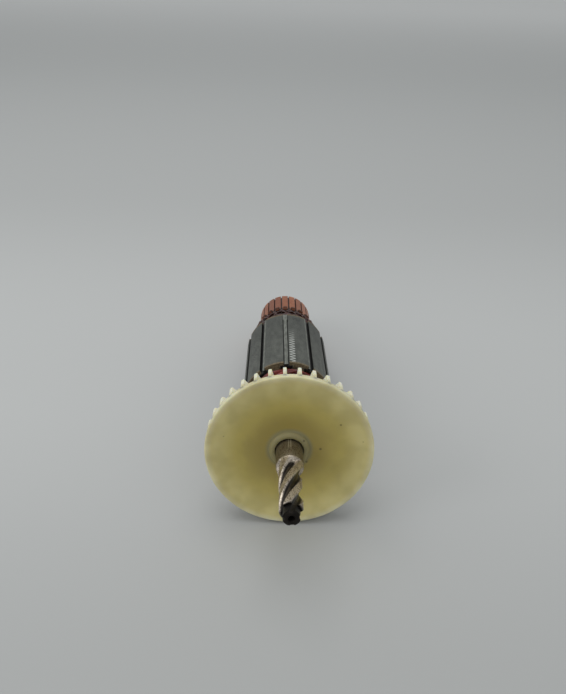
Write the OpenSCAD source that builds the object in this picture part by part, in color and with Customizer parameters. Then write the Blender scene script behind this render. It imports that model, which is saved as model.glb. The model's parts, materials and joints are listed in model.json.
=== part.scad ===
// Armature of a small universal motor, lying on its side as it comes to rest.
// Everything is turned about one shaft, so each piece is built along the shaft's own line:
// station 0 is the front face of the fan's rim, the pinion lies at negative stations and the
// commutator at positive ones. laid_down() then lays the whole armature on the ground.
// Millimetres, +Z up, origin under the middle of the part, pinion towards -Y.

/* [Shaft] */
// Diameter of the front bearing seat
seat_d = 10; // [8.5:0.1:10.8]
// Length of the front bearing seat that stands clear of the fan
seat_len = 10.4; // [7:0.1:14]
// Diameter of the grinding relief between the bearing seat and the fan's seat
relief_d = 9.6; // [8:0.1:9.9]
// Length of the relief that stands clear of the fan's collar
relief_out = 0.4; // [0.2:0.1:1]
// Diameter of the seat that the fan is pressed onto
fan_seat_d = 10.6; // [10.2:0.1:11.9]
// Depth inside the fan's bore at which the shaft steps up to the fan's seat
fan_seat_inset = 2.5; // [1:0.1:5]
// Diameter of the shaft through the windings
body_d = 12; // [11:0.1:12.8]
// Length of the full-diameter shaft behind the winding, up to the commutator's shoulder
body_tail = 16.5; // [15.5:0.1:18]
// Diameter of the rear bearing journal
journal_d = 8; // [6:0.1:9.8]
// Length of the rear bearing journal
journal_len = 10; // [7:0.1:14]
// Length of the commutator's seat that stands clear behind the commutator
com_seat_tail = 2; // [1:0.1:4]
// Width of the chamfer at the shaft's steps and rear end
shaft_chamfer = 0.4; // [0.2:0.05:0.8]

/* [Pinion] */
// Number of teeth cut on the shaft's end
pinion_teeth = 4; // [4:1:7]
// Outside diameter of the teeth
pinion_d = 8; // [7.4:0.1:8.4]
// Diameter at the bottom of the tooth spaces
pinion_root_d = 5.2; // [4.6:0.1:5.6]
// Length of the toothed stretch, the run-out with it
pinion_len = 24.7; // [18:0.1:30]
// Length over which the hob leaves the shaft
pinion_runout = 6.5; // [3:0.1:9]
// Length over which the bar narrows from the bearing seat to the teeth's own diameter
pinion_taper = 6.5; // [3:0.1:9]
// Advance of one tooth in a full turn
pinion_lead = 48; // [45:0.5:90]
// Diameter of the turned pilot in front of the teeth
pilot_d = 5.9; // [5.2:0.1:6.8]
// Length of the turned pilot
pilot_len = 3.7; // [2.4:0.1:6]
// Diameter of the centre drilling in the pilot's end
centre_d = 2.4; // [1:0.1:3]
// Depth of the centre drilling
centre_depth = 2; // [1:0.1:3]

/* [Fan] */
// Diameter over the rim and the blade tips
fan_d = 62; // [56:0.5:68]
// Thickness of the fan's disc
disc_t = 2.4; // [1.8:0.1:3.2]
// How far the dished disc falls back from its rim to its hub
fan_dish = 2.8; // [1:0.1:4]
// Diameter of the raised collar round the bore
collar_d = 15.8; // [14.5:0.1:18]
// Height of the collar above the disc
collar_h = 1.7; // [0.8:0.1:2.4]
// Diameter of the hub behind the disc
fan_hub_d = 20; // [17:0.1:24]
// Station of the hub's rear face
fan_hub_end = 15; // [12:0.1:17]
// Number of blades
blades = 36; // [24:2:44]
// Thickness of one blade
blade_t = 1.3; // [0.8:0.1:1.8]
// Station of the blades' rear corner at the rim
blade_rim_end = 8.3; // [6:0.1:10]
// Station of the blades' rear edge where it is deepest
blade_root_end = 12; // [9:0.1:14]
// Diameter at which the blades are deepest
blade_deep_d = 40; // [36:0.5:46]
// Diameter at which the blades run out on the disc
blade_inner_d = 27; // [24:0.5:32]

/* [Lamination stack] */
// Station of the front face of the stack, its end board with it
stack_start = 38; // [37:0.1:42]
// Diameter of the stack
stack_d = 37.5; // [36.5:0.1:38]
// Length of the steel laminations
core_len = 52.1; // [42:0.1:60]
// Thickness of the fibre board on each end of the steel
board_t = 1.2; // [0.8:0.1:2]
// Number of slots
slots = 11; // [9:2:13]
// Width of a slot's opening
slot_opening = 2.4; // [1.9:0.1:2.8]
// Width of a tooth between its slots
tooth_w = 4.2; // [3.9:0.05:4.6]
// Diameter at the bottom of the slots
slot_bottom_d = 21; // [20.4:0.1:21.4]
// Thickness of the tooth tips over a slot
lip_t = 1.35; // [1.1:0.05:1.6]
// Wall of the insulating tube between shaft and stack
tube_wall = 1.25; // [0.9:0.05:1.4]

/* [Winding] */
// Thickness of the paper that lines a slot
liner_t = 0.3; // [0.2:0.05:0.4]
// How far the slot paper stands out of each end of the stack
liner_out = 1; // [0.6:0.1:1.6]
// Thickness of the foot of a slot wedge
wedge_t = 0.8; // [0.6:0.05:1]
// How far a wedge's rib lies below the tooth tips' surface
wedge_sink = 0.35; // [0.15:0.05:0.6]
// Gap on each side of a wedge's rib
wedge_gap = 0.4; // [0.3:0.05:0.6]
// How far the wedges stand out of each end of the stack
wedge_out = 0.6; // [0.3:0.1:1]
// Clearance round the copper in a slot
copper_fit = 0.12; // [0.08:0.01:0.2]
// How far the end turns reach out of the stack
overhang = 14.3; // [12.5:0.1:15]
// Width of a coil's bundle in the end turns
bundle_w = 3.2; // [2.8:0.1:3.4]
// Thickness of a coil's bundle in the end turns
bundle_t = 2.7; // [2.2:0.1:3]
// Clearance between the end turns and the insulating tube
tube_gap = 0.5; // [0.3:0.1:1]
// Diameter of the wire leads to the commutator
lead_d = 0.8; // [0.5:0.05:0.9]

/* [Commutator] */
// Number of bars for each slot
bars_per_slot = 2; // [2:1:2]
// Diameter of the brush track
track_d = 26.4; // [25.6:0.1:27]
// Distance from the stack to the bars' front ends
com_gap = 19; // [18.5:0.1:22]
// Length of a bar
bar_len = 23.5; // [20:0.1:28]
// Thickness of a bar at the brush track
bar_t = 2; // [1.6:0.1:2.4]
// Depth of a bar's anchoring dovetail below that
anchor_h = 2.2; // [1.6:0.1:2.4]
// Gap between neighbouring bars, at the brush track
bar_gap = 0.6; // [0.4:0.05:0.8]
// How far the insulation between the bars is cut below the brush track
undercut = 0.7; // [0.4:0.05:1]
// How far the bars stand out behind the moulding
bar_out = 1; // [0.4:0.1:1.8]
// Width of a bar's hook
hook_w = 1.9; // [1.4:0.1:2.2]
// Height of a hook over the brush track
hook_h = 1.9; // [1.7:0.1:2.1]
// Length of a hook along the bar
hook_len = 4.2; // [3.6:0.1:5]
// Wall of the metal bush inside the commutator
bush_wall = 1; // [0.8:0.1:1.4]
// Outside diameter of the shaft's seat for the commutator
com_seat_d = 10.6; // [10.2:0.1:11]

/* [Hidden] */
$fn = 96;
SKIN = 0.01;                       // overlap where two stretches of one solid are joined

// radii
seat_r = seat_d / 2;
relief_r = min(relief_d / 2, seat_r - 0.1);
body_r = body_d / 2;
tube_r = body_r + tube_wall;
fan_r = fan_d / 2;
stack_r = stack_d / 2;
track_r = track_d / 2;

// stations along the shaft
collar_face = fan_dish - collar_h;
seat_front = collar_face - seat_len;
teeth_front = seat_front - pinion_len;
shaft_front = teeth_front - pilot_len;
fan_seat_start = collar_face + fan_seat_inset;
core_start = stack_start + board_t;
core_end = core_start + core_len;
stack_end = core_end + board_t;
com_start = stack_end + com_gap;
com_end = com_start + bar_len;
body_end = stack_end + body_tail;
journal_start = com_end + com_seat_tail;
shaft_end = journal_start + journal_len;

// pinion
root_r = pinion_root_d / 2;
crest_r = pinion_d / 2;
pilot_r = pilot_d / 2;
tooth_pitch = 360 / pinion_teeth;
seat_step = 0.15;                  // step from the taper up to the ground seat
RING_STEP = 0.8;                   // distance between the pinion's computed sections
PINION_PHASE = 51;                  // where a tooth space starts at the seat
// a tooth's shape round the shaft: share of the pitch, share of the depth cut away
TOOTH_FORM = [
    [0.00, 0], [0.10, 0], [0.20, 0], [0.30, 0], [0.39, 0], [0.45, 0.35],
    [0.53, 0.85], [0.62, 1], [0.77, 1], [0.86, 0.85], [0.94, 0.35]
];

// slots: a slot's sides run parallel to the middle lines of its two teeth
slot_pitch = 360 / slots;
half_pitch = slot_pitch / 2;
slot_bottom_r = slot_bottom_d / 2;
slot_top_r = stack_r - lip_t;
slot_round_c = (slot_bottom_r - tooth_w / 2) / (1 - sin(half_pitch));
slot_round_r = slot_round_c * sin(half_pitch) - tooth_w / 2;
slot_phase = 90 - 3.8;             // a slot close to the top of the stack
function slot_half_w(x, inset = 0) = x * tan(half_pitch) - (tooth_w / 2 + inset) / cos(half_pitch);

// the copper: two coil sides share a slot, one over the other
coil_span = floor(slots / 2);
copper_inset = liner_t + copper_fit;
copper_low = slot_round_c - 0.8 * (slot_round_r - copper_inset);   // clear of the round bottom
copper_high = slot_top_r - wedge_t - copper_fit;
copper_mid = copper_low + 0.57 * (copper_high - copper_low);
low_b = (copper_mid - copper_fit - copper_low) / 2;
low_r = copper_low + low_b;
high_b = (copper_high - copper_mid) / 2;
high_r = copper_mid + high_b;
OCTAGON_FLAT = tan(22.5);          // half a side of an octagon, for a half width of one
low_a = slot_half_w(low_r - OCTAGON_FLAT * low_b, copper_inset);
high_a = slot_half_w(high_r - OCTAGON_FLAT * high_b, copper_inset);

// meridian route of an end turn as [radius, distance from the stack]: out of the slot's
// bottom, in to the insulating tube, over the end and back to the top of its other slot
turn_in_r = tube_r + tube_gap + bundle_t / 2;
turn_out_r = stack_r - 0.9 - bundle_t / 2;
turn_top = overhang - bundle_t / 2;
bend_room = 0.9;                   // clear of the slot paper before a coil bends
straight_out = liner_out + bend_room;
TURN = [
    [low_r, straight_out],
    [turn_in_r + 0.3, straight_out + 0.36 * (turn_top - straight_out)],
    [turn_in_r + 0.5, straight_out + 0.76 * (turn_top - straight_out)],
    [(turn_in_r + turn_out_r) / 2, turn_top],
    [turn_out_r - 0.6, straight_out + 0.76 * (turn_top - straight_out)],
    [turn_out_r, straight_out + 0.24 * (turn_top - straight_out)],
    [high_r, straight_out]
];
TURN_RINGS = 22;                   // sections in one end turn
SIDES = 8;                         // sides of a bundle

// commutator
bars = slots * bars_per_slot;
bar_pitch = 360 / bars;
bar_phase = 90 + 5.5 + bar_pitch / 2;
bar_angle = bar_pitch - bar_gap / track_r * 180 / PI;
bar_low_r = track_r - bar_t;
anchor_r = bar_low_r - anchor_h;
com_seat_r = com_seat_d / 2;
bush_r = com_seat_r + bush_wall;
com_chamfer = 0.3;
wire_fit = 0.08;
wire_hole_r = lead_d / 2 + wire_fit;
wire_r = track_r + wire_hole_r;    // a lead lies on the brush track's surface, under its hook
wire_z = com_start + 0.35 * hook_len;

// how it lies: on two blade tips and on the commutator's rear edge
blade_pitch = 360 / blades;
blade_phase = 90 + blade_pitch / 2;
blade_half_angle = asin(blade_t / fan_d);
fan_rest_r = fan_r * cos(blade_pitch / 2 - blade_half_angle);
rest_station = com_end - com_chamfer;
tilt = atan((fan_rest_r - track_r) / (rest_station - blade_rim_end));
axis_h = fan_rest_r * cos(tilt) + blade_rim_end * sin(tilt);
front_y = shaft_front * cos(tilt) - pilot_r * sin(tilt);
rear_y = shaft_end * cos(tilt) + (journal_d / 2 - shaft_chamfer) * sin(tilt);

steel = [0.62, 0.60, 0.57];
core_grey = [0.36, 0.37, 0.35];
fibre = [0.62, 0.56, 0.42];
paper = [0.78, 0.76, 0.68];
winding_red = [0.42, 0.11, 0.07];
copper = [0.72, 0.42, 0.25];
resin = [0.20, 0.12, 0.08];
nylon = [0.80, 0.76, 0.50];
tube_tan = [0.70, 0.62, 0.45];

// ---------- placing and shared shapes ----------

// The shaft's line lies along +Y and falls towards the commutator; +Y of a piece comes out up.
module laid_down() {
    translate([0, -(front_y + rear_y) / 2, axis_h])
        rotate([-(90 + tilt), 0, 0])
            rotate([0, 0, 180])
                children();
}

// A turned solid from its outline as [radius, station] points.
module turned(outline, turn = 360) {
    rotate_extrude(angle = turn)
        polygon(outline);
}

// A plain round length from one station to another.
module round_bar(r, from, to) {
    translate([0, 0, from])
        cylinder(r = r, h = to - from);
}

// A solid through a list of rings, each with the same number of points, closed by end caps.
module skin(rings) {
    n = len(rings[0]);
    last = len(rings) - 1;
    polyhedron(
        points = [for (ring = rings) each ring],
        faces = concat(
            [[for (i = [0:n - 1]) i]],
            [for (j = [0:last - 1], i = [0:n - 1], half = [0, 1])
                let (a = j * n + i, b = j * n + (i + 1) % n)
                half == 0 ? [a, a + n, b] : [b, a + n, b + n]],
            [[for (i = [n - 1:-1:0]) last * n + i]]
        ),
        convexity = 10
    );
}

// The same for a list of rings that closes on itself.
module loop_skin(rings) {
    n = len(rings[0]);
    m = len(rings);
    polyhedron(
        points = [for (ring = rings) each ring],
        faces = [for (j = [0:m - 1], i = [0:n - 1], half = [0, 1])
            let (
                a = j * n + i,
                b = j * n + (i + 1) % n,
                c = ((j + 1) % m) * n + i,
                d = ((j + 1) % m) * n + (i + 1) % n
            )
            half == 0 ? [a, c, b] : [b, c, d]],
        convexity = 10
    );
}

// Smooth curve through a list of points: share 0 is the first point and 1 the last.
function curve_point(pts, share) =
    let (
        last = len(pts) - 1,
        i = min(floor(share * last), last - 1),
        t = share * last - i,
        p0 = pts[max(i - 1, 0)],
        p1 = pts[i],
        p2 = pts[i + 1],
        p3 = pts[min(i + 2, last)]
    )
    0.5 * (2 * p1 + (p2 - p0) * t + (2 * p0 - 5 * p1 + 4 * p2 - p3) * t * t
        + (3 * p1 - p0 - 3 * p2 + p3) * t * t * t);

function around(r, angle, z) = [r * cos(angle), r * sin(angle), z];
function unit(v) = v / norm(v);

// ---------- shaft with its pinion ----------

// Radius of the toothed end at a station and an angle.
// The crests rise to the seat over the taper, the tooth spaces grow shallower through the
// run-out, and the pilot cuts the crests away.
function taper_share(z) = max(0, 1 - (seat_front - z) / pinion_taper);
function crest_at(z) = crest_r + (seat_r - seat_step - crest_r) * pow(taper_share(z), 1.5);
function cut_share(z) = min(1, (seat_front - z) / pinion_runout);
function cut_depth(z) = (crest_at(z) - root_r) * sqrt(1 - pow(1 - cut_share(z), 2));
function tooth_turn(z) = PINION_PHASE + 360 * (z - seat_front) / pinion_lead;
function pinion_ring(z, limit) = [
    for (k = [0:pinion_teeth - 1], p = TOOTH_FORM)
        around(min(crest_at(z) - p[1] * cut_depth(z), limit), tooth_turn(z) + (k + p[0]) * tooth_pitch, z)
];
function plain_ring(z, r, like) = [
    for (k = [0:pinion_teeth - 1], p = TOOTH_FORM)
        around(r, tooth_turn(like) + (k + p[0]) * tooth_pitch, z)
];

module pinion() {
    steps = ceil(pinion_len / RING_STEP);
    pilot_steps = ceil(pilot_len / RING_STEP / 2);
    tip_chamfer = 0.4;
    skin(concat(
        [plain_ring(shaft_front + centre_depth, 0.3, shaft_front)],
        [plain_ring(shaft_front, centre_d / 2, shaft_front)],
        [plain_ring(shaft_front, root_r - tip_chamfer, shaft_front)],
        [for (i = [0:pilot_steps])
            pinion_ring(shaft_front + tip_chamfer + (pilot_len - tip_chamfer) * i / pilot_steps, pilot_r)],
        [for (i = [0:steps - 1]) pinion_ring(teeth_front + pinion_len * i / steps, seat_r)],
        [plain_ring(seat_front - SKIN, seat_r - seat_step, seat_front - SKIN)],
        [plain_ring(seat_front + 1, seat_r - seat_step, seat_front + 1)]
    ));
}

module shaft() {
    c = shaft_chamfer;
    color(steel)
        laid_down()
            union() {
                pinion();
                turned([
                    [0, seat_front], [seat_r - c, seat_front], [seat_r, seat_front + c],
                    [seat_r, collar_face - relief_out], [relief_r, collar_face - relief_out],
                    [relief_r, fan_seat_start], [fan_seat_d / 2 - c, fan_seat_start],
                    [fan_seat_d / 2, fan_seat_start + c], [fan_seat_d / 2, fan_hub_end],
                    [body_r, fan_hub_end], [body_r, body_end], [com_seat_r, body_end],
                    [com_seat_r, journal_start], [journal_d / 2, journal_start],
                    [journal_d / 2, shaft_end - c], [journal_d / 2 - c, shaft_end], [0, shaft_end]
                ]);
            }
}

// ---------- insulating tube ----------

module shaft_insulation() {
    color(tube_tan)
        laid_down()
            difference() {
                round_bar(tube_r, stack_start - overhang - 2, body_end);
                round_bar(body_r, stack_start - overhang - 3, body_end + 1);
            }
}

// ---------- lamination stack and its end boards ----------

// One slot's section along the shaft: round bottom, sides parallel to the teeth.
module slot_space(from, to, inset) {
    r = slot_round_r - inset;
    foot_x = slot_round_c - r * sin(half_pitch);
    foot_y = r * cos(half_pitch);
    top_y = slot_half_w(slot_top_r, inset);
    translate([slot_round_c, 0, from])
        cylinder(r = r, h = to - from);
    translate([0, 0, from])
        linear_extrude(to - from)
            polygon([[foot_x, -foot_y], [slot_top_r, -top_y], [slot_top_r, top_y], [foot_x, foot_y]]);
}

// A round plate or stack with its bore and all its slots.
module slotted(from, to) {
    difference() {
        round_bar(stack_r, from, to);
        round_bar(tube_r, from - 1, to + 1);
        for (i = [0:slots - 1])
            rotate([0, 0, slot_phase + i * slot_pitch]) {
                slot_space(from - 1, to + 1, 0);
                translate([slot_top_r - SKIN, -slot_opening / 2, from - 1])
                    cube([lip_t + 1, slot_opening, to - from + 2]);
            }
    }
}

module lamination_stack() {
    color(core_grey)
        laid_down()
            slotted(core_start, core_end);
}

module front_end_board() {
    color(fibre)
        laid_down()
            slotted(stack_start, core_start);
}

module rear_end_board() {
    color(fibre)
        laid_down()
            slotted(core_end, stack_end);
}

// ---------- slot paper and wedges ----------

module slot_liners() {
    from = stack_start - liner_out;
    to = stack_end + liner_out;
    color(paper)
        laid_down()
            for (i = [0:slots - 1])
                rotate([0, 0, slot_phase + i * slot_pitch])
                    difference() {
                        slot_space(from, to, 0);
                        slot_space(from - 1, to + 1, liner_t);
                    }
}

// A wedge: a foot under the tooth tips and a rib that shows in the slot's opening.
module slot_wedge(i) {
    foot_r = slot_top_r - wedge_t;
    foot_w = slot_half_w(foot_r, liner_t);
    top_w = slot_half_w(slot_top_r, liner_t);
    rib_w = slot_opening / 2 - wedge_gap;
    rib_r = stack_r - wedge_sink;
    color(paper)
        laid_down()
            rotate([0, 0, slot_phase + (i - 1) * slot_pitch])
                translate([0, 0, stack_start - wedge_out])
                    linear_extrude(stack_end - stack_start + 2 * wedge_out)
                        polygon([
                            [foot_r, -foot_w], [slot_top_r, -top_w], [slot_top_r, -rib_w],
                            [rib_r, -rib_w], [rib_r, rib_w], [slot_top_r, rib_w],
                            [slot_top_r, top_w], [foot_r, foot_w]
                        ]);
}

// ---------- coils ----------

// A blend that is 0 in the slots and 1 all through the end turn.
function in_turn(s) = min(1, 6 * min(s, 1 - s));
function half_a(s) = let (slot_a = s < 0.5 ? low_a : high_a) slot_a + (bundle_w / 2 - slot_a) * in_turn(s);
function half_b(s) = let (slot_b = s < 0.5 ? low_b : high_b) slot_b + (bundle_t / 2 - slot_b) * in_turn(s);

// One eight-sided section of an end turn, square to the wire. side is 1 at the rear of the
// stack and -1 at its front.
function turn_ring(s, side) =
    let (
        ds = 0.002,
        here = curve_point(TURN, s),
        s0 = max(s - ds, 0),
        s1 = min(s + ds, 1),
        step = curve_point(TURN, s1) - curve_point(TURN, s0),
        sweep = coil_span * slot_pitch,
        swing = here[0] * (s1 - s0) * sweep * PI / 180,
        way = unit([step[0], s > 0 && s < 1 ? swing : 0, step[1]]),
        normal = unit([-step[1], 0, step[0]]),
        across = cross(way, normal),
        angle = s * sweep,
        base = side > 0 ? stack_end : stack_start
    )
    [for (i = [0:SIDES - 1])
        let (
            u = (i + 0.5) * 360 / SIDES,
            spread = 1 / cos(180 / SIDES),
            off = spread * (cos(u) * half_b(s) * normal + sin(u) * half_a(s) * across),
            r = here[0] + off[0],
            z = base + side * (here[1] + off[2])
        )
        [r * cos(angle) - off[1] * sin(angle), r * sin(angle) + off[1] * cos(angle), z]];

module coil(i) {
    shares = [for (j = [0:TURN_RINGS]) j / TURN_RINGS];
    color(winding_red)
        laid_down()
            rotate([0, 0, slot_phase + (i - 1) * slot_pitch])
                loop_skin(concat(
                    [for (s = shares) turn_ring(s, 1)],
                    [for (j = [TURN_RINGS:-1:0]) turn_ring(shares[j], -1)]
                ));
}

// ---------- leads to the commutator ----------

// A lead's route as [radius, angle from its hook, station]: off the winding's shoulder, down
// to the commutator and through under its hook.
LEAD_SIDES = 5;
LEAD_RINGS = 10;
lead_route = [
    [turn_out_r + bundle_t / 2 + lead_d / 2, -1.75 * bar_pitch, stack_end + 0.63 * overhang],
    [turn_out_r + bundle_t / 2 + lead_d / 2 - 0.3, -1.45 * bar_pitch, stack_end + 0.82 * overhang],
    [(turn_out_r + wire_r) / 2 + 0.6, -1.05 * bar_pitch, stack_end + overhang + 0.8],
    [wire_r + 0.5, -0.62 * bar_pitch, com_start - 0.9],
    [wire_r + 0.05, -0.45 * bar_pitch, wire_z - 0.25],
    [wire_r, 0.28 * bar_pitch, wire_z]
];

function lead_ring(s) =
    let (
        ds = 0.01,
        p = curve_point(lead_route, s),
        p0 = curve_point(lead_route, max(s - ds, 0)),
        p1 = curve_point(lead_route, min(s + ds, 1)),
        way = unit(around(p1[0], p1[1], p1[2]) - around(p0[0], p0[1], p0[2])),
        out = around(1, p[1], 0),
        across = unit(cross(way, out)),
        up = cross(across, way)
    )
    [for (i = [0:LEAD_SIDES - 1])
        let (u = i * 360 / LEAD_SIDES)
        around(p[0], p[1], p[2]) + lead_d / 2 * (cos(u) * up + sin(u) * across)];

module coil_leads() {
    color(winding_red)
        laid_down()
            for (i = [0:bars - 1])
                rotate([0, 0, bar_phase + i * bar_pitch])
                    skin([for (j = [0:LEAD_RINGS]) lead_ring(j / LEAD_RINGS)]);
}

// ---------- fan ----------

// Station of the disc's front face at a radius: a shallow dish.
function dish(r) = fan_dish * (1 - pow(r / fan_r, 2));

module fan_disc() {
    rim_round = 0.35;
    steps = 10;
    collar_r = collar_d / 2;
    radii = [for (i = [0:steps]) collar_r + (fan_r - rim_round - collar_r) * i / steps];
    turned(concat(
        [[fan_seat_d / 2, collar_face], [collar_r - 1.6, collar_face], [collar_r - 0.5, collar_face + 0.5]],
        [for (r = radii) [r, dish(r)]],
        [[fan_r, rim_round], [fan_r, disc_t]],
        [for (i = [steps - 1:-1:1]) [radii[i], dish(radii[i]) + disc_t]],
        [[fan_hub_d / 2 + 1, dish(fan_hub_d / 2) + disc_t + 0.6],
         [fan_hub_d / 2, dish(fan_hub_d / 2) + disc_t + 2.2],
         [fan_hub_d / 2 - 0.6, fan_hub_end - 0.6], [fan_hub_d / 2 - 1.2, fan_hub_end],
         [fan_seat_d / 2, fan_hub_end]]
    ));
}

module blade() {
    tip_x = sqrt(fan_r * fan_r - blade_t * blade_t / 4);
    translate([0, blade_t / 2, 0])
        rotate([90, 0, 0])
            linear_extrude(blade_t)
                polygon([
                    [blade_inner_d / 2, dish(blade_inner_d / 2) + disc_t / 2],
                    [blade_deep_d / 2, blade_root_end],
                    [tip_x, blade_rim_end],
                    [tip_x, disc_t / 2],
                    [(tip_x + blade_inner_d / 2) / 2, dish((tip_x + blade_inner_d / 2) / 2) + disc_t / 2]
                ]);
}

module fan() {
    color(nylon)
        laid_down()
            union() {
                fan_disc();
                for (i = [0:blades - 1])
                    rotate([0, 0, blade_phase + i * blade_pitch])
                        blade();
            }
}

// ---------- commutator ----------

// A bar's body: the brush track over a dovetail that anchors it in the moulding.
module bar_body() {
    rotate([0, 0, -bar_angle / 2])
        turned([
            [track_r, com_start], [track_r, com_end - com_chamfer], [track_r - com_chamfer, com_end],
            [bar_low_r, com_end], [bar_low_r, com_end - 4], [anchor_r, com_end - 2],
            [anchor_r, com_start + 2], [bar_low_r, com_start + 4], [bar_low_r, com_start]
        ], bar_angle);
}

// The hook: a tongue bent back from the bar's front end and pressed down over the lead.
module hook() {
    difference() {
        translate([0, hook_w / 2, 0])
            rotate([90, 0, 0])
                linear_extrude(hook_w)
                    polygon([
                        [track_r - bar_t / 2, com_start], [track_r + 0.5 * hook_h, com_start],
                        [track_r + hook_h, com_start + 0.22 * hook_len],
                        [track_r + hook_h, com_start + 0.5 * hook_len],
                        [track_r + 0.45 * hook_h, com_start + hook_len],
                        [track_r - bar_t / 2, com_start + hook_len]
                    ]);
        translate([wire_r, 0, wire_z])
            rotate([90, 0, 0])
                cylinder(r = wire_hole_r, h = 2 * hook_w, center = true);
    }
}

module commutator_bar(i) {
    color(copper)
        laid_down()
            rotate([0, 0, bar_phase + (i - 1) * bar_pitch])
                union() {
                    bar_body();
                    hook();
                }
}

module commutator_moulding() {
    fin_r = track_r - undercut;
    moulding_end = com_end - bar_out;
    color(resin)
        laid_down()
            difference() {
                turned([
                    [bush_r, com_start - 0.8], [bar_low_r - 1, com_start - 0.8],
                    [bar_low_r - 0.4, com_start], [fin_r, com_start],
                    [fin_r, moulding_end], [bush_r, moulding_end]
                ]);
                for (i = [0:bars - 1])
                    rotate([0, 0, bar_phase + i * bar_pitch])
                        bar_body();
            }
}

module commutator_bush() {
    color(steel)
        laid_down()
            difference() {
                round_bar(bush_r, body_end, com_end - bar_out);
                round_bar(com_seat_r, body_end - 1, com_end);
            }
}

// ---------- the armature ----------

shaft();
shaft_insulation();
lamination_stack();
front_end_board();
rear_end_board();
slot_liners();
for (i = [1:slots])
    slot_wedge(i);
for (i = [1:slots])
    coil(i);
coil_leads();
fan();
commutator_bush();
commutator_moulding();
for (i = [1:bars])
    commutator_bar(i);
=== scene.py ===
"""Armature of a small universal motor, lying on its fan and its commutator."""

import json
import math

import bpy
import numpy as np
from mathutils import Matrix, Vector


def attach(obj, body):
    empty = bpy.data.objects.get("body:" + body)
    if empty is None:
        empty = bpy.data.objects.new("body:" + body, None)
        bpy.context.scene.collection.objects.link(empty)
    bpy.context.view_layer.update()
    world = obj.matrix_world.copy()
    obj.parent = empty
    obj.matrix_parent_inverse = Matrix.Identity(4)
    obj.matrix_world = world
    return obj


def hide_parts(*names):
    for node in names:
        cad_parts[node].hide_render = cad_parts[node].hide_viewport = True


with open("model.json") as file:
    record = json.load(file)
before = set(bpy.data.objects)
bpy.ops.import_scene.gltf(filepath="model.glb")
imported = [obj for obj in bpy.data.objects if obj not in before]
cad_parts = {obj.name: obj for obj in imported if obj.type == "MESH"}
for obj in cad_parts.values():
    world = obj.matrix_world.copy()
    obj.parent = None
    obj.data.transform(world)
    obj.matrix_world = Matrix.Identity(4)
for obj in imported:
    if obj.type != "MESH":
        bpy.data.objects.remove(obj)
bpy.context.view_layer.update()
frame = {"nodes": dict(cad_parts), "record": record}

# ---------- the shaft's line, the camera and the light ----------
# Everything on an armature is turned or wound about one line. Stations are millimetres
# along it from the front of the fan's rim, and an angle of 90 degrees is straight up.

MM = 0.001
MOUNTS = {mount["name"]: mount for mount in frame["record"]["mounts"]}
SEAT_MIDDLE = -4.1  # station of the middle of the front bearing seat
AXIS = Vector(MOUNTS["rear_bearing_journal"]["axis"]).normalized()
RIM = Vector(MOUNTS["front_bearing_seat"]["pos_m"]) - SEAT_MIDDLE * MM * AXIS
UP = Vector((0, -AXIS.z, AXIS.y))
SIDE = Vector((-1, 0, 0))


def place(radius, angle, station):
    """Points at these radii and stations in millimetres and these angles in degrees."""
    radius, angle, station = np.broadcast_arrays(radius, np.radians(angle), station)
    across = (radius * np.cos(angle))[..., None] * np.array(SIDE)
    above = (radius * np.sin(angle))[..., None] * np.array(UP)
    along = station[..., None] * np.array(AXIS)
    return np.array(RIM) + MM * (across + above + along)


camera = bpy.data.objects.new("camera", bpy.data.cameras.new("camera"))
camera.data.sensor_fit = "VERTICAL"
camera.data.sensor_height = 24
camera.data.lens = 23.24
camera.data.clip_start = 0.01
camera.location = (-0.00894, -0.24221, 0.19291)
camera.rotation_euler = [math.radians(turn) for turn in (58.359, -2.080, -0.232)]
bpy.context.scene.collection.objects.link(camera)
bpy.context.scene.camera = camera
bpy.context.scene.view_settings.view_transform = "Standard"


def soft_lamp(name, spot, aim, size, power):
    """A square lamp at a spot in metres, turned towards another."""
    lamp = bpy.data.objects.new(name, bpy.data.lights.new(name, "AREA"))
    lamp.data.size = size
    lamp.data.energy = power
    lamp.location = spot
    lamp.rotation_euler = (Vector(spot) - Vector(aim)).to_track_quat("Z", "Y").to_euler()
    bpy.context.scene.collection.objects.link(lamp)


soft_lamp("lamp_above", (-0.15, 0.10, 1.10), (0, 0.02, 0), 0.9, 4.2)
soft_lamp("lamp_left", (-0.90, -0.45, 0.60), (0, -0.04, 0.03), 0.5, 2.2)


def tone(red, green, blue):
    """A colour as it looks on a screen, from 0 to 255, as the renderer's linear one."""
    shares = [value / 255 for value in (red, green, blue)]
    return (*(s / 12.92 if s < 0.04 else ((s + 0.055) / 1.055) ** 2.4 for s in shares), 1)


# ---------- finishes ----------
# A finish is one procedural material. Value is a socket of its nodes with arithmetic.


class Value:
    """A socket of a finish; arithmetic on it adds Math nodes."""

    def __init__(self, finish, socket):
        self.finish = finish
        self.socket = socket

    def math(self, operation, *others):
        return self.finish.node("ShaderNodeMath", {"operation": operation}, (self, *others))

    def __add__(self, other):
        return self.math("ADD", other)

    def __sub__(self, other):
        return self.math("SUBTRACT", other)

    def __rsub__(self, other):
        return self * -1 + other

    def __mul__(self, other):
        return self.math("MULTIPLY", other)

    def __truediv__(self, other):
        return self.math("DIVIDE", other)

    def __pow__(self, other):
        return self.math("POWER", other)

    __radd__ = __add__
    __rmul__ = __mul__

    def rise(self, low, high):
        """0 below low, 1 above high and smooth between them; low may be the higher."""
        return self.finish.node(
            "ShaderNodeMapRange", {"interpolation_type": "SMOOTHSTEP"}, (self, low, high, 0, 1)
        )

    def band(self, low, high, edge):
        """1 between low and high, fading out over an edge."""
        return self.rise(low - edge, low) * self.rise(high + edge, high)


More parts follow.
